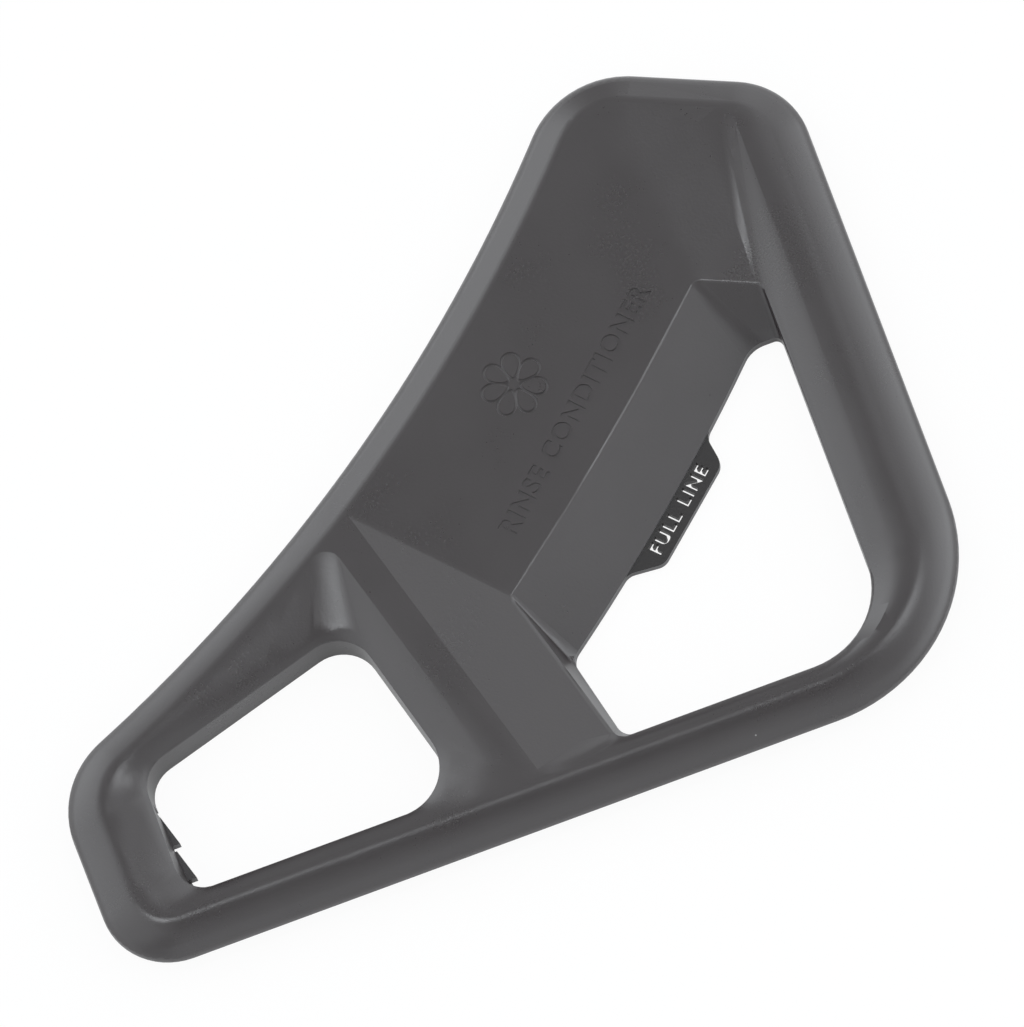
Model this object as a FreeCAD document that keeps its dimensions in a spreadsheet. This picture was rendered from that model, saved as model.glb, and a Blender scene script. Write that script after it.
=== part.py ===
import FreeCAD, Part
import math
import os
import re
import Sketcher
from FreeCAD import Vector

# A softener dispenser bezel. The origin is the middle of its underside, the straight front side
# lies along X, and Z is up through the openings. All sizes are in millimetres and degrees.
bezel_sizes = {
    # Over all
    "length": 233.9,
    "depth": 184.2,
    # Wall and heights, all above the face that the lips of the openings rest on
    "wall": 2.2,
    "crown": 14.0,  # crossbar and crest of the rim
    "skirt_edge": 6.2,  # lower edge of the rim, its seat on the washer's top
    "dish_depth": 3.0,  # fall of the sunken faces to the edge of an opening
    "foot": 2.6,  # where the funnel's sloping walls turn down into its lip
    # Rim outline: left side, short back side and long hollow side
    "left_touch": 39.6,  # where the left side is at its full length, from the front
    "left_angle": -88.3,
    "back_drop": 19.4,  # fall of the back side from the rearmost point to the right side
    "top_angle": 154.9,
    "sweep_right": 109.7,  # middle of the hollow side, from the right
    "sweep_back": 52.7,  # and from the back
    "sweep_angle": 221.0,
    "sweep_radius": 433.0,
    "round_left_back": 24.0,
    "round_left_front": 18.0,
    "round_right_front": 45.0,
    "round_right_back": 21.0,
    "round_back": 25.0,
    # Rolled rim
    "rim_width": 8.4,  # slope from the skirt up to the crest, in plan
    "rim_fall": 4.0,
    "rim_roll": 5.0,  # rolled edge between slope and skirt
    "crest_round": 4.0,
    "crest_land": 1.2,  # level strip between the crest and a sunken face
    "right_strip": 8.0,  # the wider level strip on the right side
    "under_trim": 0.6,  # the underside falls less than the slope above it
    "under_draw": 1.4,  # and over a narrower strip
    # Crossbar between the openings: upper end of its right edge, from the middle of the hollow side
    "bar_inset": 9.0,
    "bar_along": 49.8,
    "bar_angle": -74.4,
    "bar_width": 8.1,
    # Faces round the pour opening
    "ramp_width": 20.9,  # ramp beside the crossbar
    "face_width": 54.4,  # main face, from the hollow side to the crease
    "crease_angle": 221.8,
    "crease_radius": 741.0,
    "lip_inset": 55.4,  # upper face, from the back side to the lip
    "right_border": 24.7,
    "front_border": 16.8,
    "front_lead": 3.0,  # lean of the funnel's front wall
    "apex_corner": 2.0,
    "bar_corner": 4.0,
    "strip_corner": 32.0,
    "strip_turn": 5.0,
    "ramp_corner": 1.0,
    "ramp_turn": 3.0,
    "pour_corner": 21.5,
    "lip_corner": 2.0,
    "lip_turn": 3.0,
    "edge_round": 1.5,  # rounding of the crease, the lip and the ramp's end
    # Foot of the funnel
    "slope_run": 19.7,  # sloping wall, from the crease to its foot
    "slope_angle": 222.85,
    "slope_radius": 600.0,
    "end_inset": 24.4,  # foot of the wall under the ramp's end, from the crossbar's edge
    "end_along": 58.7,
    "end_angle": -77.0,
    "back_narrow": 8.0,  # width left between the sloping wall and the right side at the wall under the lip
    "foot_corner": 4.5,
    "foot_turn": 4.0,
    "foot_large": 20.0,
    "foot_right": 2.0,
    "foot_back": 8.0,
    # Fill tab, placed along the foot of the sloping wall
    "tab_thick": 2.0,
    "tab_reach": 6.6,
    "tab_middle": 7.2,
    "tab_angle": 42.1,
    "tab_right_end": -11.8,
    "tab_right_reach": 2.6,
    "tab_right_angle": 98.5,
    "tab_left_end": 25.7,
    "tab_left_reach": 1.1,
    "tab_left_angle": -5.0,
    "tab_round": 4.0,
    "tab_root": 0.3,  # corners that end inside the lip
    "tab_blend": 4.0,  # hollow blends from the lip into the tab's ends
    # Small opening
    "grip_border": 21.6,  # left side, from the rim's left side
    "grip_front_border": 14.7,
    "grip_back_out": 24.1,  # end of the back side, from the crossbar's right edge
    "grip_back_along": 20.8,
    "grip_back_angle": 196.5,
    "grip_right_out": 16.7,  # end of the right side, from the crossbar's right edge
    "grip_right_along": 59.6,
    "grip_right_angle": 104.9,
    "grip_lean": 0.6,  # lean of the left wall at the notch behind the hooks
    "grip_lean_angle": 275.4,
    "grip_bar_front": 9.0,
    "grip_apex": 4.4,
    "grip_back_left": 9.0,
    "grip_front_left": 8.0,
    "grip_front_right": 13.0,
    "grip_back_right": 10.0,
    # Two snap hooks at the foot of the left wall
    "hook_front": 6.5,  # front end of the front hook, from the front side of the opening
    "hook_long": 8.4,
    "hook_start": 0.7,
    "hook_reach": 3.2,
    "hook_high": 2.5,
    "hook_gap": 1.6,
    "hook_step": 1.1,  # the second hook stands further out
    "notch_long": 2.2,
    "notch_high": 7.0,
    # How far a cutting form passes the face that it cuts
    "overcut": 1.0,
}

os.makedirs("parts", exist_ok=True)
doc = FreeCAD.newDocument("softener_bezel")
sizes = doc.addObject("Spreadsheet::Sheet", "sizes")
for row, (alias, value) in enumerate(bezel_sizes.items(), 1):
    sizes.set(f"A{row}", alias.replace("_", " "))
    sizes.set(f"B{row}", str(value))
    sizes.setAlias(f"B{row}", alias)
doc.recompute()


def named(text):
    """An expression on the sheet's aliases, as a constraint takes it."""
    return re.sub("[a-z_]{3,}", lambda word: f"sizes.{word[0]}" if word[0] in bezel_sizes else word[0], text)


def number(text):
    """The value of such an expression now."""
    return float(sizes.evalExpression(named(text)))


def beside(x, y, angle, inset, along):
    """The point at an inset to the left of a side and at a distance along it."""
    return (
        f"({x}) - ({inset}) * sin({angle}) + ({along}) * cos({angle})",
        f"({y}) + ({inset}) * cos({angle}) + ({along}) * sin({angle})",
    )


def side(x, y, angle, out="0", radius=None):
    """One side of an outline, moved outwards by out: straight, or hollow with a radius."""
    if radius is None:
        point_x, point_y = beside(x, y, angle, f"-({out})", "0")
        return {"x": point_x, "y": point_y, "angle": angle}
    centre_x, centre_y = beside(x, y, angle, f"-({radius})", "0")
    return {"x": centre_x, "y": centre_y, "radius": f"({radius}) - ({out})"}


def inner_curve(edge, inset):
    """The side moved inwards by a plain number: a point and direction, or a centre and radius."""
    point = Vector(number(edge["x"]), number(edge["y"]), 0)
    if "radius" in edge:
        return point, None, number(edge["radius"]) + inset
    turn = math.radians(number(edge["angle"]))
    along = Vector(math.cos(turn), math.sin(turn), 0)
    return point + Vector(-along.y, along.x, 0) * inset, along, None


def crossing(first, second):
    """Where two sides cross, nearest to the origin if one of them is hollow."""
    (p, u, r), (q, v, s) = first, second
    if u is None:
        (p, u, r), (q, v, s) = second, first
    if v is not None:
        gap = q - p
        return p + u * ((gap.x * v.y - gap.y * v.x) / (u.x * v.y - u.y * v.x))
    foot = p + u * u.dot(q - p)
    reach = math.sqrt(s * s - foot.distanceToPoint(q) ** 2)
    return min((foot + u * reach, foot - u * reach), key=Vector.Length.__get__)


def touch(edge, centre):
    """Where a corner arc about centre touches a side."""
    point, along, radius = inner_curve(edge, 0)
    if along is not None:
        return point + along * along.dot(centre - point)
    ray = centre - point
    return point + ray * (radius / ray.Length)


def outline(name, level, sides, rounds, grow="0"):
    """A closed sketch at a height: its sides in order, anticlockwise, joined by tangent corner arcs."""
    sketch = doc.addObject("Sketcher::SketchObject", name)
    sketch.setExpression("Placement.Base.z", named(level))
    count = len(sides)
    radii = [f"({r}) + ({grow})" for r in rounds]
    middles = []
    for i, edge in enumerate(sides):
        after = sides[(i + 1) % count]
        r = number(radii[i])
        middles.append(crossing(inner_curve(edge, r), inner_curve(after, r)))
    for i, edge in enumerate(sides):
        start = touch(edge, middles[i - 1])
        end = touch(edge, middles[i])
        if "radius" in edge:
            hub = Vector(number(edge["x"]), number(edge["y"]), 0)
            circle = Part.Circle(hub, Vector(0, 0, 1), number(edge["radius"]))
            arc = Part.ArcOfCircle(circle, circle.parameter(end), circle.parameter(start))
            sketch.addGeometry(arc, False)
        else:
            sketch.addGeometry(Part.LineSegment(start, end), False)
    for i, edge in enumerate(sides):
        circle = Part.Circle(middles[i], Vector(0, 0, 1), number(radii[i]))
        first = circle.parameter(touch(edge, middles[i]))
        last = circle.parameter(touch(sides[(i + 1) % count], middles[i]))
        sketch.addGeometry(Part.ArcOfCircle(circle, first, last), False)

    def bind(constraint, text):
        place = sketch.addConstraint(constraint)
        sketch.setExpression(f"Constraints[{place}]", named(text))

    for i, edge in enumerate(sides):
        hollow = "radius" in edge
        after = (i + 1) % count
        sketch.addConstraint(Sketcher.Constraint("Tangent", i, 1 if hollow else 2, count + i, 1))
        begin = 2 if "radius" in sides[after] else 1
        sketch.addConstraint(Sketcher.Constraint("Tangent", count + i, 2, after, begin))
        bind(Sketcher.Constraint("Radius", count + i, number(radii[i])), radii[i])
        if hollow:
            bind(Sketcher.Constraint("DistanceX", i, 3, number(edge["x"])), edge["x"])
            bind(Sketcher.Constraint("DistanceY", i, 3, number(edge["y"])), edge["y"])
            bind(Sketcher.Constraint("Radius", i, number(edge["radius"])), edge["radius"])
        else:
            place = sketch.addGeometry(Part.Point(Vector(number(edge["x"]), number(edge["y"]), 0)), True)
            bind(Sketcher.Constraint("DistanceX", place, 1, number(edge["x"])), edge["x"])
            bind(Sketcher.Constraint("DistanceY", place, 1, number(edge["y"])), edge["y"])
            sketch.addConstraint(Sketcher.Constraint("PointOnObject", place, 1, i))
            bind(Sketcher.Constraint("Angle", i, math.radians(number(edge["angle"]))), edge["angle"])
    return sketch


sweep_x = "length / 2 - sweep_right"
sweep_y = "depth / 2 - sweep_back"
bar = (*beside(sweep_x, sweep_y, "sweep_angle", "bar_inset", "bar_along"), "bar_angle")


def rim_sides(inset):
    """The rim's own sides, moved inwards: hollow side, left, front, right and back."""
    out = f"-({inset})"
    return [
        side(sweep_x, sweep_y, "sweep_angle", out, "sweep_radius"),
        side("-length / 2", "left_touch - depth / 2", "left_angle", out),
        side("0", "-depth / 2", "0", out),
        side("length / 2", "0", "90", out),
        side("length / 2", "depth / 2 - back_drop", "top_angle", out),
    ]


def rim(name, level, inset):
    """Outline of the rim, moved inwards."""
    rounds = ["round_left_back", "round_left_front", "round_right_front", "round_right_back", "round_back"]
    return outline(name, level, rim_sides(inset), rounds, f"-({inset})")


def dish(name, level, out):
    """Top outline of the sunken faces round the pour opening."""
    inset = f"rim_width + crest_land - ({out})"
    hollow, _, front, _, back = rim_sides(inset)
    crossbar = side(*bar, out)
    right = side("length / 2 - rim_width - right_strip", "0", "90", out)
    rounds = ["apex_corner", "bar_corner", "strip_corner", "strip_turn", f"round_back - ({inset})"]
    return outline(name, level, [hollow, crossbar, front, right, back], rounds)


crease_x, crease_y = beside(sweep_x, sweep_y, "sweep_angle", "face_width", "0")
slope_x, slope_y = beside(crease_x, crease_y, "crease_angle", "slope_run", "0")


def crease(name, level, out):
    """Lower outline of those faces: crease, ramp's end, front, right and lip."""
    sides = [
        side(crease_x, crease_y, "crease_angle", out, "crease_radius"),
        side(*bar, f"({out}) - ramp_width"),
        side("0", "front_border - front_lead - depth / 2", "0", out),
        side("length / 2 - right_border", "0", "90", out),
        side("length / 2", "depth / 2 - back_drop", "top_angle", f"({out}) - lip_inset"),
    ]
    rounds = ["ramp_corner", "ramp_turn", "pour_corner", "lip_corner", "lip_turn"]
    return outline(name, level, sides, rounds, out)


def pour_foot(name, level, out):
    """Outline of the pour opening at the foot of the funnel's walls."""
    end_x, end_y = beside(*bar, "end_inset", "end_along")
    slope = side(slope_x, slope_y, "slope_angle", "0", "slope_radius")
    back_x = "length / 2 - right_border - back_narrow"
    back_y = f"{slope['y']} - sqrt(slope_radius ^ 2 - ({back_x} - ({slope['x']})) ^ 2)"
    sides = [
        side(slope_x, slope_y, "slope_angle", out, "slope_radius"),
        side(end_x, end_y, "end_angle", out),
        side("0", "front_border - depth / 2", "0", out),
        side("length / 2 - right_border", "0", "90", out),
        side(back_x, back_y, "180", out),
    ]
    rounds = ["foot_corner", "foot_turn", "foot_large", "foot_right", "foot_back"]
    return outline(name, level, sides, rounds, out)


def grip_top(name, level, out):
    """Top outline of the sunken faces round the small opening."""
    inset = f"rim_width + crest_land - ({out})"
    hollow, left, front, _, _ = rim_sides(inset)
    bar_x, bar_y, _ = bar
    crossbar = side(bar_x, bar_y, "bar_angle + 180", f"({out}) - bar_width")
    rounds = [f"round_left_back - ({inset})", f"round_left_front - ({inset})", "grip_bar_front", "grip_apex"]
    return outline(name, level, [hollow, left, front, crossbar], rounds)


grip_edge = "grip_border - length / 2"
second_back = "grip_front_border - depth / 2 + hook_front + hook_long"
first_back = f"{second_back} + hook_gap + hook_long"


def grip_hole(name, level, out, left=(grip_edge, "0", "270")):
    """Outline of the small opening."""
    back_x, back_y = beside(*bar, "-grip_back_out", "grip_back_along")
    right_x, right_y = beside(*bar, "-grip_right_out", "grip_right_along")
    sides = [
        side(back_x, back_y, "grip_back_angle", out),
        side(*left, out),
        side("0", "grip_front_border - depth / 2", "0", out),
        side(right_x, right_y, "grip_right_angle", out),
    ]
    rounds = ["grip_back_left", "grip_front_left", "grip_front_right", "grip_back_right"]
    return outline(name, level, sides, rounds, out)


def grip_foot(name, level, out):
    """The same opening at the foot of its lip, where the left wall leans inwards."""
    left = (f"{grip_edge} + grip_lean", f"{first_back} + notch_long", "grip_lean_angle")
    return grip_hole(name, level, out, left)


def prism(name, sketch, height):
    """A sketch raised straight up, or down if the height is negative."""
    solid = doc.addObject("Part::Extrusion", name)
    solid.Base = sketch
    solid.DirMode = "Custom"
    solid.Dir = Vector(0, 0, 1)
    solid.Solid = True
    solid.setExpression("LengthFwd", named(height))
    return solid


def loft(name, sketches):
    """Straight walls from each outline to the next."""
    solid = doc.addObject("Part::Loft", name)
    solid.Sections = sketches
    solid.Solid = True
    solid.Ruled = True
    return solid


def joined(name, shapes):
    """Solids fused into one."""
    solid = doc.addObject("Part::MultiFuse", name)
    solid.Shapes = shapes
    return solid


def less(name, base, tool):
    """One solid with another taken away."""
    solid = doc.addObject("Part::Cut", name)
    solid.Base = base
    solid.Tool = tool
    return solid


tolerance = 0.01


def level_edges(shape, height):
    """Numbers of the edges that lie level at a height."""
    found = []
    for place, edge in enumerate(shape.Edges, 1):
        box = edge.BoundBox
        if abs(box.ZMin - height) < tolerance and abs(box.ZMax - height) < tolerance:
            found.append(place)
    return found


def crowned(name, base, level, fall, width):
    """A prism with its top edge cut back to the rim's slope."""
    doc.recompute()
    solid = doc.addObject("Part::Chamfer", name)
    solid.Base = base
    solid.Edges = [(place, number(fall), number(width)) for place in level_edges(base.Shape, number(level))]
    return solid


def rounded(name, base, places, radius):
    """A solid with the numbered edges rounded."""
    solid = doc.addObject("Part::Fillet", name)
    solid.Base = base
    solid.Edges = [(place, number(radius), number(radius)) for place in places]
    doc.recompute()
    return solid


def box(name, place, extent):
    """A block, from its lowest corner and its three sizes."""
    block = doc.addObject("Part::Box", name)
    for field, text in zip(("Placement.Base.x", "Placement.Base.y", "Placement.Base.z"), place):
        block.setExpression(field, named(text))
    for field, text in zip(("Length", "Width", "Height"), extent):
        block.setExpression(field, named(text))
    return block


# Outer form of the rim, up to its crest
rim_block = prism("rim_block", rim("rim_outline", "skirt_edge", "0"), "crown - skirt_edge")
rim_slope = crowned("rim_slope", rim_block, "crown", "rim_fall", "rim_width")
doc.recompute()
shoulder = level_edges(rim_slope.Shape, number("crown - rim_fall"))
rim_rolled = rounded("rim_rolled", rim_slope, shoulder, "rim_roll")
rim_form = rounded("rim_form", rim_rolled, level_edges(rim_rolled.Shape, number("crown")), "crest_round")

# Space under the rim and the crossbar
ceiling = "crown - wall"
under_block = prism("under_block", rim("under_outline", "0", "wall"), ceiling)
under_form = crowned("under_form", under_block, ceiling, "rim_fall - under_trim", "rim_width - under_draw")

# Sunken faces, funnel and hole of the pour opening
floor = "crown - dish_depth"
pour_crease = crease("pour_crease", floor, "0")
pour_end = pour_foot("pour_end", "foot", "0")
pour_dish = loft("pour_dish", [dish("pour_dish_top", "crown", "0"), pour_crease])
pour_funnel = loft("pour_funnel", [pour_crease, pour_end])
pour_hole = prism("pour_hole", pour_end, "-foot - overcut")
pour_sharp = joined("pour_sharp", [pour_dish, pour_funnel, pour_hole])
doc.recompute()
pour_void = rounded("pour_void", pour_sharp, level_edges(pour_sharp.Shape, number(floor)), "edge_round")

# Sunken faces and hole of the small opening
grip_mouth = grip_hole("grip_mouth", floor, "0")
grip_end = grip_foot("grip_end", "0", "0")
grip_dish = loft("grip_dish", [grip_top("grip_dish_top", "crown", "0"), grip_mouth])
grip_throat = loft("grip_throat", [grip_mouth, grip_end])
grip_drop = prism("grip_drop", grip_end, "-overcut")
grip_sharp = joined("grip_sharp", [grip_dish, grip_throat, grip_drop])
doc.recompute()
grip_void = rounded("grip_void", grip_sharp, level_edges(grip_sharp.Shape, number(floor)), "edge_round")

# Walls that follow the sunken faces underneath, one wall thickness out and down
shelf = "crown - dish_depth - wall"
pour_shelf = crease("pour_shelf", shelf, "wall")
dish_wall = loft("dish_wall", [dish("dish_wall_top", ceiling, "wall"), pour_shelf])
funnel_wall = loft("funnel_wall", [pour_shelf, pour_foot("funnel_wall_foot", "foot - wall", "wall")])
pour_lip = prism("pour_lip", pour_foot("pour_lip_foot", "0", "wall"), "foot")
grip_shelf = grip_hole("grip_shelf", shelf, "wall")
grip_wall = loft("grip_wall", [grip_top("grip_wall_top", ceiling, "wall"), grip_shelf])
grip_lip = loft("grip_lip", [grip_shelf, grip_foot("grip_lip_foot", "0", "wall")])
walls = joined("walls", [dish_wall, funnel_wall, pour_lip, grip_wall, grip_lip])

shell = less("shell", rim_form, under_form)
blank = joined("blank", [shell, walls])
voids = doc.addObject("Part::Compound", "voids")
voids.Links = [pour_void, grip_void]
opened = less("opened", blank, voids)

# Fill tab that stands out under the sloping wall
foot_line = (slope_x, slope_y, "slope_angle")
tab_outline = outline("tab_outline", "0", [
    side(*beside(*foot_line, "tab_reach", "tab_middle"), "tab_angle"),
    side(*beside(*foot_line, "tab_right_reach", "tab_right_end"), "tab_right_angle"),
    side(slope_x, slope_y, "slope_angle", "wall / 2", "slope_radius"),
    side(*beside(*foot_line, "tab_left_reach", "tab_left_end"), "tab_left_angle"),
], ["tab_round", "tab_root", "tab_root", "tab_round"])
tab = prism("tab", tab_outline, "tab_thick")

# Two snap hooks: slots free the foot of the left wall, and a barb grows towards each hook's front end
behind_wall = f"{grip_edge} - 2 * wall"
across_wall = "4 * wall"
notch_size = (across_wall, "notch_long", "notch_high + overcut")
notch = box("notch", (behind_wall, first_back, "-overcut"), notch_size)
slot_size = (across_wall, "hook_gap", "hook_high + overcut")
hook_slot = box("hook_slot", (behind_wall, second_back, "-overcut"), slot_size)


def barb(name, back, step):
    """The wedge at a hook's foot, from its back end."""
    wedge = doc.addObject("Part::Wedge", name)
    for field, text in {
        "Xmin": f"{grip_edge} - wall / 2",
        "X2min": f"{grip_edge} - wall / 2",
        "Xmax": f"{grip_edge} + hook_reach + {step}",
        "X2max": f"{grip_edge} + hook_start + {step}",
        "Ymin": f"{back} - hook_long",
        "Ymax": back,
        "Zmin": "0",
        "Z2min": "0",
        "Zmax": "hook_high",
        "Z2max": "hook_high",
    }.items():
        wedge.setExpression(field, named(text))
    return wedge


slotted = less("slotted", opened, joined("hook_slots", [notch, hook_slot]))
barbs = [barb("barb_back", first_back, "0"), barb("barb_front", second_back, "hook_step")]
whole = joined("whole", [slotted, tab] + barbs)
doc.recompute()

# Hollow blends at the two upright edges where the tab leaves the lip
slope = side(slope_x, slope_y, "slope_angle", "0", "slope_radius")
slope_middle = Vector(number(slope["x"]), number(slope["y"]), 0)
roots = []
for place, edge in enumerate(whole.Shape.Edges, 1):
    box = edge.BoundBox
    reach = Vector(box.XMin, box.YMin, 0).distanceToPoint(slope_middle)
    on_lip = abs(reach - number("slope_radius")) < tolerance
    upright = box.XLength < tolerance and box.YLength < tolerance
    if on_lip and upright and abs(box.ZMax - number("tab_thick")) < tolerance:
        roots.append(place)
if len(roots) != 2:
    raise RuntimeError("the tab does not leave the lip at two edges")
moulding = rounded("moulding", whole, roots, "tab_blend")
moulding.Label = "softener_bezel"

for item in doc.Objects:
    if "Invalid" in item.State or "Error" in item.State:
        raise RuntimeError(f"{item.Name} failed")
if moulding.Shape.isNull() or not moulding.Shape.isValid() or len(moulding.Shape.Solids) != 1:
    raise RuntimeError("the moulding is not one sound solid")
moulding.Shape.exportStep(f"parts/{moulding.Label}.step")
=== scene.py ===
import math

import bpy
from mathutils import Matrix, Vector
from mathutils.bvhtree import BVHTree
from mathutils.geometry import barycentric_transform, closest_point_on_tri


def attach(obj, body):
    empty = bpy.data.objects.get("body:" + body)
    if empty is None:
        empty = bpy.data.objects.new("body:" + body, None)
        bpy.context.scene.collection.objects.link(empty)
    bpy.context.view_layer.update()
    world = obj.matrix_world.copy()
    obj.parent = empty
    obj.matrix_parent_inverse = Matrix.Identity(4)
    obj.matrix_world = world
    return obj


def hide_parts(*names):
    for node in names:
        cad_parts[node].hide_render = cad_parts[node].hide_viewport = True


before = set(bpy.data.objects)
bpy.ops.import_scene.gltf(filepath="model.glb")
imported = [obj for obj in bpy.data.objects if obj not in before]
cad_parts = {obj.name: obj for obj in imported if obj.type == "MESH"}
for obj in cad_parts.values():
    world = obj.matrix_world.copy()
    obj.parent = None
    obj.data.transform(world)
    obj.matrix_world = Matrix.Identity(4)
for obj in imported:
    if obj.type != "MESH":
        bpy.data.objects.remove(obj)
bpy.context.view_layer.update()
scene = bpy.context.scene
scene.view_settings.view_transform = "Standard"

# Camera: it looks down over the front side, 22 degrees off the vertical, through a long lens.
# The frame is rolled so that the long front side climbs to the right.
tilt = math.radians(22)
roll = math.radians(20.2)
lens = 500
sensor_width = 36
pixel = 0.00025
picture_rows = 1027
rows_down = 1.5
aim = Vector((0.013853, -0.009589, 0.0062))
view_height = picture_rows * pixel
distance = view_height * lens / sensor_width
level_up = Vector((0, math.cos(tilt), math.sin(tilt)))
picture_right = Vector((math.cos(roll), 0, 0)) - math.sin(roll) * level_up
picture_up = Vector((math.sin(roll), 0, 0)) + math.cos(roll) * level_up
backwards = picture_right.cross(picture_up)
camera_data = bpy.data.cameras.new("camera")
camera_data.lens = lens
camera_data.sensor_width = sensor_width
camera_data.clip_end = 50
camera = bpy.data.objects.new("camera", camera_data)
scene.collection.objects.link(camera)
camera_place = aim - rows_down * pixel * picture_up + distance * backwards
camera_turn = Matrix((picture_right, picture_up, backwards)).transposed().to_4x4()
camera.matrix_world = Matrix.Translation(camera_place) @ camera_turn
scene.camera = camera

# Bezel: one injection moulding in dark grey plastic, with thin walls that follow its folded faces.
# It drops into the washer's top and is held by the snap hooks in its small opening.
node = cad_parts["softener_bezel"]
bezel = node.copy()
bezel.data = node.data.copy()
bezel.name = "bezel"
scene.collection.objects.link(bezel)
bezel.parent = None
bezel.matrix_world = Matrix.Identity(4)
bezel_weld = 0.00001


def pick(piece):
    """Makes one piece the only one that is selected, and the active one."""
    bpy.ops.object.select_all(action="DESELECT")
    piece.select_set(True)
    bpy.context.view_layer.objects.active = piece


def open_mesh(piece):
    """Opens a piece's mesh in edit mode, with all of it selected."""
    pick(piece)
    bpy.ops.object.mode_set(mode="EDIT")
    bpy.ops.mesh.select_all(action="SELECT")


open_mesh(bezel)
bpy.ops.mesh.remove_doubles(threshold=bezel_weld)
bpy.ops.object.mode_set(mode="OBJECT")

# Words: a plain caption pressed into the main face, and a fill mark cut right through the tab.
# Both are moulded with the bezel and run along its sloping wall.
letter_groove = 0.0003
caption_thick = 0.001
caption_turn = math.radians(43)
caption_place = (0.01216, -0.01837, caption_thick - letter_groove)
fill_mark_thick = 0.003
fill_mark_turn = math.radians(42.4)
fill_mark_place = (0.0448, -0.03254, 0.001)
cutter_weld = 0.0000001
over_bezel = 0.05


def letters(text, size, thick, weight, spread):
    """Plain letters in one line, thick to both sides of zero level, with strokes made wider by the weight."""
    bpy.ops.object.text_add()
    line = bpy.context.object
    line.data.body = text
    line.data.size = size
    line.data.extrude = thick
    line.data.offset = weight
    line.data.space_character = spread
    return line


def cutter_mesh(curve, place, turn):
    """Makes a text or a curve into a closed mesh, turned and put in its place."""
    pick(curve)
    bpy.ops.object.convert(target="MESH")
    curve.location = place
    curve.rotation_euler.z = turn
    bpy.ops.object.transform_apply(location=True, rotation=True, scale=True)
    open_mesh(curve)
    bpy.ops.mesh.remove_doubles(threshold=cutter_weld)
    bpy.ops.mesh.normals_make_consistent(inside=False)
    bpy.ops.object.mode_set(mode="OBJECT")


def lay_on(cutter, surface):
    """Lifts a flat cutter so that its zero level follows the face below it."""
    for vertex in cutter.data.vertices:
        above = Vector((vertex.co.x, vertex.co.y, over_bezel))
        vertex.co.z += surface.ray_cast(above, Vector((0, 0, -1)))[0].z


def cut(cutter):
    """Takes a cutter out of the bezel."""
    boolean = bezel.modifiers.new("cut", "BOOLEAN")
    boolean.operation = "DIFFERENCE"
    boolean.solver = "EXACT"
    boolean.use_self = True
    boolean.object = cutter
    pick(bezel)
    bpy.ops.object.modifier_apply(modifier="cut")
    bpy.data.objects.remove(cutter)


caption = letters("RINSE CONDITIONER", size=0.0068, thick=caption_thick, weight=0.00018, spread=1.12)
caption.data.resolution_u = 4
cutter_mesh(caption, caption_place, caption_turn)
main_face = BVHTree.FromObject(bezel, bpy.context.evaluated_depsgraph_get())
lay_on(caption, main_face)
cut(caption)

fill_mark = letters("FULL LINE", size=0.0049, thick=fill_mark_thick, weight=0.0002, spread=1.2)
cutter_mesh(fill_mark, fill_mark_place, fill_mark_turn)
cut(fill_mark)

# Flower: seven looped petals, the usual sign for a rinse compartment.
# It is pressed into the main face beside the caption, as a fine round groove.
petals = 7
first_petal = math.radians(79)
flower_place = Vector((0.0253, 0.0199, 0))
flower_groove = 0.0003
petal_start = 0.0016
petal_middle = 0.0059
petal_end = 0.0084
petal_side = 0.0023
start_handle = 0.0008
end_handle = 0.0014
inner_side = petal_middle - 0.0015
outer_side = petal_middle + 0.0014
petal_shape = (
    ((petal_start, 0), (petal_start, -start_handle), (petal_start, start_handle)),
    ((petal_middle, petal_side), (inner_side, petal_side), (outer_side, petal_side)),
    ((petal_end, 0), (petal_end, end_handle), (petal_end, -end_handle)),
    ((petal_middle, -petal_side), (outer_side, -petal_side), (inner_side, -petal_side)),
)
loops = []
for petal in range(petals):
    bpy.ops.curve.primitive_bezier_circle_add()
    loop = bpy.context.object
    for point, (place, before, after) in zip(loop.data.splines[0].bezier_points, petal_shape):
        point.handle_left_type = "FREE"
        point.handle_right_type = "FREE"
        point.co = (*place, 0)
        point.handle_left = (*before, 0)
        point.handle_right = (*after, 0)
    loop.data.dimensions = "3D"
    loop.data.resolution_u = 8
    loop.data.bevel_depth = flower_groove
    loop.data.bevel_resolution = 2
    cutter_mesh(loop, flower_place, first_petal + petal * math.tau / petals)
    loops.append(loop)
flower = loops[0]
pick(flower)
for loop in loops[1:]:
    loop.select_set(True)
bpy.ops.object.join()
lay_on(flower, main_face)
cut(flower)

# Shading: the cut faces take the smooth normals of the moulded faces, and each groove keeps its own.
# The real edges of the rim, the crossbar and the small opening are softly rounded, so the normals
# there are evened out over a few millimetres, less and less toward the back of the bezel.
open_mesh(bezel)
bpy.ops.mesh.quads_convert_to_tris()
bpy.ops.mesh.faces_shade_smooth()
bpy.ops.object.mode_set(mode="OBJECT")
moulded = node.data
moulded_points = [vertex.co.copy() for vertex in moulded.vertices]
moulded_faces = [tuple(face.vertices) for face in moulded.polygons]
moulded_skin = BVHTree.FromPolygons(moulded_points, moulded_faces)
groove_gap = 0.00002
groove_turn = math.radians(25)
soft_rings = (0.0011, 0.0022, 0.0033)
soft_spokes = 12
same_side = 0.3
facing_up = 0.35
skirt_top = 0.0035
right_rim = 0.0925
front_rim = -0.077
bar_edge = -0.0243
bar_lean = 0.28
bar_fade = 0.03
right_part = 0.05
right_soft_end = 0.085
right_fade = 0.03
front_soft_end = -0.005
front_fade = 0.02
soft_normals = {}


def past_bar(x, y):
    """How far a place is beyond the crossbar's leaning edge, toward the small opening."""
    return bar_edge - (x + bar_lean * y)


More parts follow.
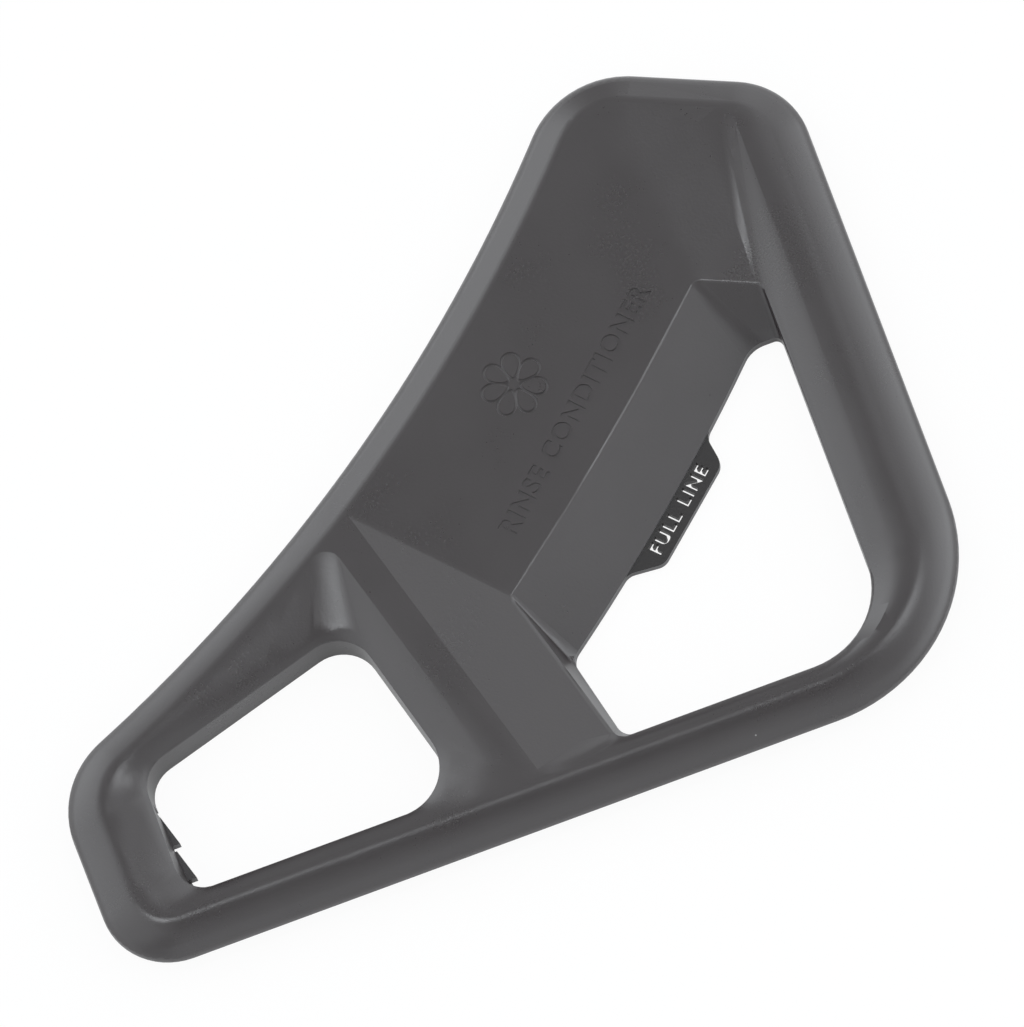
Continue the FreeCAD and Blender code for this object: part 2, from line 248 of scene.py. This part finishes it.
def softness(x, y):
    """How much of its softened normal a place takes, from 0 to 1."""
    if x > right_part:
        share = (right_soft_end - y) / right_fade
    else:
        share = max(past_bar(x, y) / bar_fade, (front_soft_end - y) / front_fade)
    return min(max(share, 0), 1)


def softened(index, normal):
    """The mean normal of the faces that look up round a corner of the mesh, on its side of an edge."""
    if index not in soft_normals:
        point = bezel.data.vertices[index].co
        side = normal.orthogonal().normalized()
        total = normal.copy()
        for ring in soft_rings:
            for step in range(soft_spokes):
                spoke = Matrix.Rotation(math.tau * step / soft_spokes, 3, normal) @ side
                nearby = moulded_skin.find_nearest(point + ring * spoke)[1]
                if nearby.dot(normal) > same_side and nearby.z > facing_up:
                    total += nearby
        soft_normals[index] = total.normalized()
    return soft_normals[index]


corner_normals = []
for face in bezel.data.polygons:
    middle = face.center
    facing, index, gap = moulded_skin.find_nearest(middle)[1:]
    in_groove = gap > groove_gap or facing.angle(face.normal) > groove_turn
    source = moulded.polygons[index]
    source_points = [moulded_points[i] for i in source.vertices]
    source_normals = [moulded.corner_normals[i].vector for i in source.loop_indices]
    on_rim = middle.x > right_rim or middle.y < front_rim or past_bar(middle.x, middle.y) > 0
    soft = on_rim and middle.z > skirt_top and facing.z > facing_up
    for i in face.vertices:
        corner = bezel.data.vertices[i].co
        normal = face.normal.copy()
        if not in_groove:
            on_source = closest_point_on_tri(corner, *source_points)
            normal = barycentric_transform(on_source, *source_points, *source_normals).normalized()
            if soft and corner.z > skirt_top:
                share = softness(corner.x, corner.y)
                normal = normal.lerp(softened(i, normal), share).normalized()
        corner_normals.append(normal)
bezel.data.normals_split_custom_set(corner_normals)


# Plastic: dark grey with a satin gloss, cloudy by a hair, with a fine grain and a few specks of dust.
# The top of the fill tab is painted a little darker, as painted shade of the funnel walls around it, and is
# smoother.
class Socket:
    """A value in a material, so that its maths reads as plain arithmetic."""

    def __init__(self, tree, link):
        self.tree = tree
        self.link = link

    def node(self, kind, settings=(), **values):
        """Adds a node: its settings first, then the values or links of its sockets.

        A socket goes by its name, or by its number, as i0 or i1.
        """
        new = self.tree.nodes.new(kind)
        for name, value in dict(settings).items():
            setattr(new, name, value)
        for name, value in values.items():
            by_number = name[0] == "i" and name[1:].isdigit()
            slot = new.inputs[int(name[1:])] if by_number else new.inputs[name]
            if isinstance(value, Socket):
                self.tree.links.new(value.link, slot)
            else:
                slot.default_value = value
        return new

    def maths(self, operation, first, second=0.0):
        """The result of one Math node."""
        made = self.node("ShaderNodeMath", {"operation": operation}, i0=first, i1=second)
        return Socket(self.tree, made.outputs[0])

    def __add__(self, other):
        return self.maths("ADD", self, other)

    __radd__ = __add__

    def __mul__(self, other):
        return self.maths("MULTIPLY", self, other)

    __rmul__ = __mul__

    def __sub__(self, other):
        return self.maths("SUBTRACT", self, other)

    def __rsub__(self, other):
        return self.maths("SUBTRACT", other, self)

    def __abs__(self):
        return self.maths("ABSOLUTE", self)

    def __gt__(self, other):
        return self.maths("GREATER_THAN", self, other)

    def __lt__(self, other):
        return self.maths("LESS_THAN", self, other)

    def between(self, low, high):
        """0 at low and 1 at high, eased at both ends."""
        settings = {"interpolation_type": "SMOOTHSTEP"}
        made = self.node("ShaderNodeMapRange", settings, i0=self, i1=low, i2=high)
        return Socket(self.tree, made.outputs[0])

    def mixed(self, first, second):
        """A colour between two, where this value is 0 and 1."""
        made = self.node("ShaderNodeMix", {"data_type": "RGBA"}, i0=self, i6=first, i7=second)
        return Socket(self.tree, made.outputs[2])

    def noise(self, scale, detail):
        """A cloudy pattern over this position, from 0 to 1."""
        made = self.node("ShaderNodeTexNoise", Vector=self, Scale=scale, Detail=detail)
        return Socket(self.tree, made.outputs[0])


darker_grey = (0.0252, 0.0204, 0.0208, 1)
lighter_grey = (0.0284, 0.0234, 0.0238, 1)
# painted shade: the tab's top, low in the funnel, gets a darker grey than the body
tab_painted_shade_grey = (0.017, 0.015, 0.0145, 1)
dust_grey = (0.22, 0.215, 0.21, 1)
tab_top = 0.0023
level_face = 0.7
dusty_face = 0.5
speck_size = 0.02
dusty_patch = 0.56
satin = 0.24
cloud_roughness = 0.05
grain_roughness = 0.04
tab_polish = 0.1
plastic = bpy.data.materials.new("moulded_plastic")
plastic.use_nodes = True
tree = plastic.node_tree
shader = tree.nodes["Principled BSDF"]
coords = tree.nodes.new("ShaderNodeTexCoord")
position = Socket(tree, coords.outputs["Object"])
place_parts = position.node("ShaderNodeSeparateXYZ", i0=position)
normal_parts = position.node("ShaderNodeSeparateXYZ", i0=Socket(tree, coords.outputs["Normal"]))
height = Socket(tree, place_parts.outputs["Z"])
upward = Socket(tree, normal_parts.outputs["Z"])
clouds = position.noise(scale=45, detail=3)
grain = position.noise(scale=1400, detail=3)
dust = Socket(tree, position.node("ShaderNodeTexVoronoi", Vector=position, Scale=90).outputs[0])
dust_patches = position.noise(scale=30, detail=1)
# the tab's top takes the painted shade colour and a smoother finish
on_tab = (height < tab_top) * (upward > level_face)
specks = (dust < speck_size) * (dust_patches > dusty_patch) * (upward > dusty_face)
body_colour = clouds.between(0.3, 0.7).mixed(darker_grey, lighter_grey)
colour = specks.mixed(on_tab.mixed(body_colour, tab_painted_shade_grey), dust_grey)
roughness = satin + cloud_roughness * clouds + grain_roughness * grain - tab_polish * on_tab
relief = position.node("ShaderNodeBump", Height=grain, Strength=0.12, Distance=0.0002)
tree.links.new(colour.link, shader.inputs["Base Color"])
tree.links.new(roughness.link, shader.inputs["Roughness"])
tree.links.new(relief.outputs[0], shader.inputs["Normal"])
shader.inputs["IOR"].default_value = 1.68
bezel.data.materials.clear()
bezel.data.materials.append(plastic)
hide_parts("softener_bezel")
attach(bezel, "root")

# Floor: a plain white sheet just under the part. The camera sees it as nearly even white, with a
# faint shadow, and the plastic reflects a share of that evenness.
floor_gap = 0.0002
evenness = 0.94
reflected_share = 0.3
bpy.ops.mesh.primitive_plane_add(size=6, location=(0, 0, -floor_gap))
floor = bpy.context.object
floor.name = "floor"
white = bpy.data.materials.new("white_floor")
white.use_nodes = True
tree = white.node_tree
shader = tree.nodes["Principled BSDF"]
shader.inputs["Base Color"].default_value = (0.8, 0.8, 0.8, 1)
shader.inputs["Roughness"].default_value = 0.9
rays = tree.nodes.new("ShaderNodeLightPath")
reflected = Socket(tree, rays.outputs["Is Glossy Ray"])
seen = Socket(tree, rays.outputs["Is Camera Ray"]) + reflected_share * reflected
even_white = seen.node("ShaderNodeEmission", Color=(1, 1, 1, 1), Strength=1.0)
shown = seen.node("ShaderNodeMixShader", i0=seen * evenness)
tree.links.new(shader.outputs[0], shown.inputs[1])
tree.links.new(even_white.outputs[0], shown.inputs[2])
tree.links.new(shown.outputs[0], tree.nodes["Material Output"].inputs["Surface"])
floor.data.materials.append(white)

# Light: a soft surround that is brighter low down and toward the back, the right, the left and the
# front, with a dimmer gap in the back, three round soft lamps overhead and two faint round shades.
# The camera sees it as plain white.
light_level = 0.62
plain_level = 0.42
gap_middle = 0.02
gap_across = (0.34, 0.1)
gap_along = (0.42, 0.6)
ring_low = (0.03, 0.13)
ring_level = 0.85
ring_gap = 0.6
back_low = (0.08, 0.3)
back_along = (-0.2, 0.9)
back_level = 1.35
back_slope = 0.45
back_gap = 0.85
lamp_core = 0.3
world = bpy.data.worlds.new("surround")
scene.world = world
world.use_nodes = True
tree = world.node_tree
background = tree.nodes["Background"]
coords = tree.nodes.new("ShaderNodeTexCoord")
toward = Socket(tree, coords.outputs["Generated"])
toward_parts = toward.node("ShaderNodeSeparateXYZ", i0=toward)
across = Socket(tree, toward_parts.outputs["X"])
along = Socket(tree, toward_parts.outputs["Y"])
low = 1 - Socket(tree, toward_parts.outputs["Z"])


def side_light(level, across_range, along_range):
    """A bright side of the surround: 0 at the first end of each range and full at the second."""
    return level * across.between(*across_range) * along.between(*along_range)


def round_light(level, x, y, reach):
    """A round patch overhead toward x and y, as wide as its reach in degrees, with a soft edge."""
    direction = Vector((x, y, math.sqrt(1 - x * x - y * y)))
    settings = {"operation": "DOT_PRODUCT"}
    near = toward.node("ShaderNodeVectorMath", settings, i0=toward, i1=direction)
    limit = math.cos(math.radians(reach))
    return level * Socket(tree, near.outputs["Value"]).between(limit, 1 - (1 - limit) * lamp_core)


gap = abs(across - gap_middle).between(*gap_across) * along.between(*gap_along)
ring = low.between(*ring_low) * ring_level
back = low.between(*back_low) * along.between(*back_along)
back = back * (back_level - back_slope * across) * (1 - back_gap * gap)
left = side_light(0.75, across_range=(-0.15, -0.42), along_range=(-0.6, -0.3))
right = side_light(3.0, across_range=(0.5, 1.0), along_range=(0.75, 0.2))
front = side_light(0.55, across_range=(-0.6, -0.2), along_range=(-0.5, -0.8))
glow = ring * (1 - ring_gap * gap) + back + left + right + front
left_lamp = round_light(16, x=-0.17, y=0.07, reach=7)
right_lamp = round_light(11, x=0.37, y=-0.01, reach=7.5)
back_lamp = round_light(1.6, x=0.24, y=0.45, reach=9)
front_shade = round_light(0.3, x=0.05, y=-0.35, reach=5)
left_shade = round_light(0.4, x=-0.38, y=-0.6, reach=15)
lamps = left_lamp + right_lamp + back_lamp
shades = front_shade + left_shade
strength = light_level * (plain_level + glow + lamps - shades)
background.inputs["Color"].default_value = (0.965, 1.0, 1.03, 1)
tree.links.new(strength.link, background.inputs["Strength"])
rays = tree.nodes.new("ShaderNodeLightPath")
clear = toward.node("ShaderNodeBackground", Color=(1, 1, 1, 1), Strength=1.0)
shown = toward.node("ShaderNodeMixShader", i0=Socket(tree, rays.outputs["Is Camera Ray"]))
tree.links.new(background.outputs[0], shown.inputs[1])
tree.links.new(clear.outputs[0], shown.inputs[2])
tree.links.new(shown.outputs[0], tree.nodes["World Output"].inputs["Surface"])
